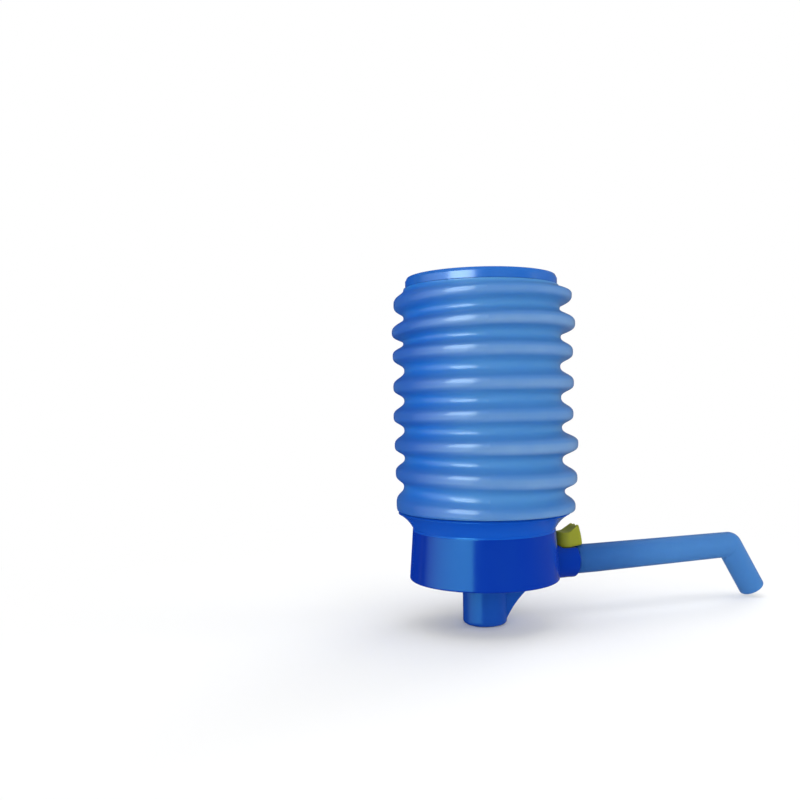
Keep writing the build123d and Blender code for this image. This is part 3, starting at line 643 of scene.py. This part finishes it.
class PUMP_OT_spout(bpy.types.Operator):
    """Spout in one moulding, with its bend and drooping end"""
    bl_idname = "pump.spout"
    bl_label = "Spout"

    def execute(self, context):
        tones = context.scene.pump_body
        start, rise_from, elbow = 51.1, 62, 148.8   # places along X: root, start of the rise, bend
        height, rise = 5.7, 1.4                     # of the axis at the root, and up to the bend
        droop, leg = radians(58.5), 29.5            # of the end: angle below level, and length
        root, tip, bore = 7.5, 6.9, 5.3             # radii: outside at root and bend, and inside
        bend, crease = 0.4, 0.7                     # radii: the bend's middle, its inner corner
        root_edge, bore_edge, lip = 0.4, 0.35, 0.7  # roundings: root, bore's mouth, outlet
        on_run, on_bend = 24, 12                    # loops: straight run, bend
        short_of = 6                                # from the last loop of the run to the bend
        half = tan(droop / 2)

        def circle(radius):
            """Offsets sideways and up of a loop's points."""
            return [(radius * cos(a), radius * sin(a)) for a in even_angles(72)]

        def across(x, z, tilt, radius):
            """Loop of points square to the tube."""
            return [(x + up * sin(tilt), side, z + up * cos(tilt)) for side, up in circle(radius)]

        def round_bend(turned, radius):
            """Loop partway round the bend: wide outside, a small crease inside."""
            line = []
            for side, up in circle(radius):
                swing = max(up + bend, crease)
                x = elbow + (up - swing) * half + swing * sin(turned)
                line.append((x, side, height + rise + up - swing * (1 - cos(turned))))
            return line

        def down_leg(along, radius):
            """Loop on the drooping end, this far beyond the bend."""
            return across(elbow + along * cos(droop), height + rise - along * sin(droop), droop, radius)

        def outside(x):
            """Outer radius, which tapers to the bend."""
            return root + (tip - root) * (x - start) / (elbow - start)

        def run(radius_at):
            """Loops of one wall, from the root to the end of the leg."""
            loops = []
            for k in range(1, on_run + 1):
                x = start + (elbow - short_of - start) * k / on_run
                z = height + rise * max(0.0, x - rise_from) / (elbow - rise_from)
                loops.append(across(x, z, 0.0, radius_at(x)))
            loops += [round_bend(droop * k / on_bend, radius_at(elbow)) for k in range(on_bend + 1)]
            loops += [down_leg(along, radius_at(elbow)) for along in (7, 12, 17, 22, 26, leg - lip)]
            return loops

        loops = [
            across(start + bore_edge, height, 0.0, bore),
            across(start, height, 0.0, bore + bore_edge),
            across(start, height, 0.0, root - root_edge),
            across(start + root_edge, height, 0.0, root),
        ]
        loops += run(outside)
        for a in QUARTER[1:]:
            loops.append(down_leg(leg - lip * (1 - sin(a)), tip - lip * (1 - cos(a))))
        loops += [down_leg(leg, bore + 0.2), down_leg(leg - 0.2, bore)]
        loops += run(lambda x: bore)[::-1]
        bm = bmesh.new()
        rows = [[bm.verts.new((x * MM, y * MM, z * MM)) for x, y, z in loop] for loop in loops]
        join_loops(bm, rows, ends_meet=True)
        material = half_clear_spout(tones.spout_root_colour, tones.spout_colour)
        spout = smooth_piece("spout", bm, material)
        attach(spout, "spout")
        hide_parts("spout_tube", "spout_leg")
        return {"FINISHED"}


class PUMP_OT_small_parts(bpy.types.Operator):
    """Seals, valves, plug, clip and grip ring"""
    bl_idname = "pump.small_parts"
    bl_label = "Seals, valves and plug"

    def execute(self, context):
        # Nitrile rubber: near black and matt
        rubber = moulded("moulded_nitrile_rubber", "#1B1C1E", pale="#232427",
                         roughness=0.6, grain=0.2)
        dress(rubber, "neck_gasket", "intake_bush", "plug_o_rings", "spout_o_rings",
              "channel_gasket", "duct_seal", "bellows_seal_ring")
        # Silicone: milky, with light inside it
        silicone = moulded("moulded_silicone", "#D6DCE0", pale="#E4E9EC", roughness=0.45, glow=0.4)
        dress(silicone, "inlet_valve_disc", "delivery_valve_disc")
        # Polyethylene without pigment: whitish, waxy and soft at its edges
        natural = moulded("moulded_natural_ldpe", "#DDE3E8", pale="#E9EEF2", roughness=0.35, glow=0.4)
        dress(natural, "neck_grip_ring", "delivery_valve_cage")
        # Acetal: dense warm white
        acetal = moulded("moulded_acetal", "#E6E6E0", pale="#F0F0EA", roughness=0.3, glow=0.2)
        dress(acetal, "stopcock_plug")
        # Steel as rolled, then stamped: bright grey with a blurred shine
        steel, tree = new_material("stamped_stainless_steel")
        skin = add(tree, "ShaderNodeBsdfPrincipled",
                   values={"Base Color": linear("#B9BDC0"), "Metallic": 1.0, "Roughness": 0.3})
        add(tree, "ShaderNodeOutputMaterial", {"Surface": skin.outputs["BSDF"]})
        dress(steel, "plug_clip")
        return {"FINISHED"}


# ---------------------------------------------------------------- stage

# On the pump's axis: halfway up it, and level with the skirt's lower edge
PUMP_MIDDLE = (0, 0, 0.085)
FOOT_POINT = (0, 0, 0)


def sky_place(azimuth, height, distance, centre=PUMP_MIDDLE):
    """Place in a direction from the pump: azimuth from the front, height above level."""
    a, e = radians(azimuth), radians(height)
    step = Vector((sin(a) * cos(e), -cos(a) * cos(e), sin(e)))
    return Vector(centre) + distance * step


def soft_light(name, azimuth, height, distance, width, tall, power,
               diffuse=True, glossy=True, upright=False):
    """Rectangular soft light that faces the pump, or stands upright as a window does."""
    lamp = bpy.data.lights.new(name, "AREA")
    lamp.shape = "RECTANGLE"
    lamp.size, lamp.size_y = width, tall
    lamp.energy = power
    holder = bpy.data.objects.new(name, lamp)
    bpy.context.scene.collection.objects.link(holder)
    place = sky_place(azimuth, height, distance)
    target = Vector((0, 0, place.z if upright else PUMP_MIDDLE[2]))
    holder.location = place
    holder.rotation_euler = (target - place).to_track_quat("-Z", "Y").to_euler()
    holder.visible_diffuse = diffuse
    holder.visible_glossy = glossy
    holder.visible_camera = False


def standing_board(name, azimuths, distance, low, high, material):
    """Board that stands round the pump from one azimuth to the next, and only shows in its gloss."""
    ends = [sky_place(a, 0, distance, FOOT_POINT) for a in azimuths]
    mesh = bpy.data.meshes.new(name)
    mesh.from_pydata(
        [(end.x, end.y, z) for end in ends for z in (low, high)], [],
        [(2 * i, 2 * i + 1, 2 * i + 3, 2 * i + 2) for i in range(len(ends) - 1)])
    board = place_mesh(name, mesh, material)
    board.visible_camera = False
    board.visible_diffuse = False
    board.visible_shadow = False


def seen_share(tree):
    """1 where something is seen straight from the camera or through a clear part, else 0."""
    path = add(tree, "ShaderNodeLightPath")
    rays = {0: path.outputs["Is Camera Ray"], 1: path.outputs["Is Transmission Ray"]}
    return add(tree, "ShaderNodeMath", rays, operation="MAXIMUM").outputs["Value"]


class PUMP_OT_stage(bpy.types.Operator):
    """Pale floor, soft window light and the camera"""
    bl_idname = "pump.stage"
    bl_label = "Floor, light and camera"

    def floor(self):
        """White paper that keeps the pump's shadow and fades into the white round it."""
        material, tree = new_material("matt_white_paper")
        where = add(tree, "ShaderNodeTexCoord").outputs["Object"]
        reach = add(tree, "ShaderNodeVectorMath", {0: where}, operation="LENGTH")
        far = add(tree, "ShaderNodeMapRange", {"Value": reach.outputs["Value"]},
                  {"From Min": 0.06, "From Max": 0.36}, interpolation_type="SMOOTHSTEP")
        fade = add(tree, "ShaderNodeMath", {0: seen_share(tree), 1: far.outputs["Result"]},
                   operation="MULTIPLY")
        paper = add(tree, "ShaderNodeBsdfDiffuse", values={"Color": linear("#FAFAF9")})
        white = add(tree, "ShaderNodeEmission", values={"Color": (1, 1, 1, 1), "Strength": 1.0})
        both = add(
            tree,
            "ShaderNodeMixShader",
            {"Fac": fade.outputs["Value"], 1: paper.outputs["BSDF"], 2: white.outputs["Emission"]},
        )
        add(tree, "ShaderNodeOutputMaterial", {"Surface": both.outputs["Shader"]})
        mesh = bpy.data.meshes.new("floor")
        half, gap = 4.0, 0.2 * MM  # half its width, and how far it lies below the spigot
        z = FLOOR_Z - gap
        mesh.from_pydata([(-half, -half, z), (half, -half, z), (half, half, z), (-half, half, z)], [],
                         [(0, 1, 2, 3)])
        floor = place_mesh("floor", mesh, material)
        floor.visible_glossy = False

    def room(self, scene, strength):
        """Even light from all round. The gloss shows a room that is dim in front of the pump."""
        world = bpy.data.worlds.new("studio")
        scene.world = world
        world.use_nodes = True
        tree = world.node_tree
        tree.nodes.clear()
        heading = add(tree, "ShaderNodeTexCoord").outputs["Generated"]
        front_and_down = (0.05, -0.65, -0.76)
        front = add(tree, "ShaderNodeVectorMath", {0: heading}, {1: front_and_down},
                    operation="DOT_PRODUCT")
        dim = add(tree, "ShaderNodeMapRange", {"Value": front.outputs["Value"]},
                  {"From Min": -0.1, "From Max": 0.6, "To Min": 0.18, "To Max": 0.06},
                  interpolation_type="SMOOTHSTEP")
        gloss = add(tree, "ShaderNodeLightPath").outputs["Is Glossy Ray"]
        sharp = add(tree, "ShaderNodeMix", {"Factor": gloss, "B": dim.outputs["Result"]},
                    {"A": strength}, data_type="FLOAT")
        level = add(tree, "ShaderNodeMix", {"Factor": seen_share(tree), "A": sharp.outputs["Result"]},
                    {"B": 1.0}, data_type="FLOAT")
        sky = add(tree, "ShaderNodeBackground", {"Strength": level.outputs["Result"]},
                  {"Color": (1, 1, 1, 1)})
        add(tree, "ShaderNodeOutputWorld", {"Surface": sky.outputs["Background"]})

    def lamps(self, power):
        """The window at the left, and lamps that each take a share of its power."""
        # Azimuth, height above level, distance, width and height of each lamp, then its share
        soft_light("window", -51, 35, 1.07, 0.6, 1.13, power * 1.85, diffuse=False, upright=True)
        # The gloss doesn't show the next ones
        for name, *place, share in (
            ("window_wash", -50, 12, 1.0, 0.6, 0.6, 0.32),
            ("lamp_above", 0, 80, 1.3, 0.8, 0.8, 0.26),
            ("lamp_front", 8, 2, 1.2, 0.8, 0.8, 0.34),
            ("lamp", 70, 8, 1.2, 0.6, 0.6, 0.36),
            ("lamp_behind", 125, 25, 1.2, 0.6, 0.8, 0.4),
        ):
            soft_light(name, *place, power * share, glossy=False)
        soft_light("lamp_glint", 61, 8, 1.2, 0.08, 0.1, power * 0.012, diffuse=False)

    def dark_board(self):
        """Deep blue board behind the pump at its left, which darkens that edge in the gloss."""
        material, tree = new_material("matt_blue_board")
        skin = add(tree, "ShaderNodeBsdfDiffuse", values={"Color": linear("#12389A")})
        add(tree, "ShaderNodeOutputMaterial", {"Surface": skin.outputs["BSDF"]})
        standing_board("board", (-130, -205), 0.16, -0.2, 0.24, material)

    def lit_wall(self):
        """Wall beside the window, whose light fades away from it."""
        material, tree = new_material("lit_wall")
        where = add(tree, "ShaderNodeTexCoord").outputs["Object"]
        heading = add(tree, "ShaderNodeVectorMath", {0: where}, operation="NORMALIZE")
        window_side = sky_place(-55, 0, 1.0, FOOT_POINT)
        beside = add(tree, "ShaderNodeVectorMath", {0: heading.outputs["Vector"]}, {1: window_side},
                     operation="DOT_PRODUCT")
        level = add(tree, "ShaderNodeMapRange", {"Value": beside.outputs["Value"]},
                    {"From Min": 0.3, "From Max": 0.95, "To Min": 0.0, "To Max": 3.1})
        glow = add(tree, "ShaderNodeEmission", {"Strength": level.outputs["Result"]},
                   {"Color": (1, 1, 1, 1)})
        add(tree, "ShaderNodeOutputMaterial", {"Surface": glow.outputs["Emission"]})
        standing_board("wall", range(-40, -136, -5), 1.0, -0.4, 1.2, material)

    def camera(self, scene, lens):
        """Camera almost level with the bellows' middle, rolled by a hair."""
        view = bpy.data.cameras.new("camera")
        view.sensor_width = 36.0
        view.lens = lens
        view.clip_start = 0.01
        camera = bpy.data.objects.new("camera", view)
        scene.collection.objects.link(camera)
        azimuth, height, roll = radians(-18.5), radians(-0.39), radians(-0.76)
        place = (-0.1751, -0.3931, 0.0869)
        back = Vector((sin(azimuth) * cos(height), -cos(azimuth) * cos(height), sin(height)))
        right = Vector((cos(azimuth), sin(azimuth), 0))
        up = back.cross(right)
        right, up = cos(roll) * right + sin(roll) * up, -sin(roll) * right + cos(roll) * up
        turn = Matrix((right, up, back)).transposed()
        camera.matrix_world = Matrix.Translation(place) @ turn.to_4x4()
        scene.camera = camera

    def execute(self, context):
        scene = context.scene
        look = scene.pump_stage
        self.floor()
        self.room(scene, look.sky)
        self.lamps(look.window_power)
        self.dark_board()
        self.lit_wall()
        self.camera(scene, look.lens)
        scene.view_settings.view_transform = "Standard"
        return {"FINISHED"}


# ---------------------------------------------------------------- panel

class PUMP_PT_panel(bpy.types.Panel):
    """Lists the pieces of the pump"""
    bl_idname = "PUMP_PT_panel"
    bl_label = "Water jug hand pump"
    bl_space_type = "VIEW_3D"
    bl_region_type = "UI"
    bl_category = "Hand Pump"

    def draw(self, context):
        for name in GROUPS:
            group = getattr(context.scene, name)
            box = self.layout.box()
            for setting in group.__annotations__:
                box.prop(group, setting)
        for operator in OPERATORS:
            self.layout.operator(operator.bl_idname)


GROUPS = {
    "pump_bellows": PumpBellowsSettings,
    "pump_body": PumpBodySettings,
    "pump_stage": PumpStageSettings,
}
OPERATORS = (
    PUMP_OT_bellows,
    PUMP_OT_body,
    PUMP_OT_spout,
    PUMP_OT_knob,
    PUMP_OT_small_parts,
    PUMP_OT_stage,
)


def register():
    for name, group in GROUPS.items():
        bpy.utils.register_class(group)
        setattr(bpy.types.Scene, name, bpy.props.PointerProperty(type=group))
    for operator in OPERATORS:
        bpy.utils.register_class(operator)
    bpy.utils.register_class(PUMP_PT_panel)


def unregister():
    bpy.utils.unregister_class(PUMP_PT_panel)
    for operator in reversed(OPERATORS):
        bpy.utils.unregister_class(operator)
    for name, group in reversed(list(GROUPS.items())):
        delattr(bpy.types.Scene, name)
        bpy.utils.unregister_class(group)


def main():
    """Makes every piece and the stage."""
    register()
    bpy.ops.pump.bellows()
    bpy.ops.pump.body()
    bpy.ops.pump.spout()
    bpy.ops.pump.knob()
    bpy.ops.pump.small_parts()
    bpy.ops.pump.stage()


if __name__ == "__main__":
    main()
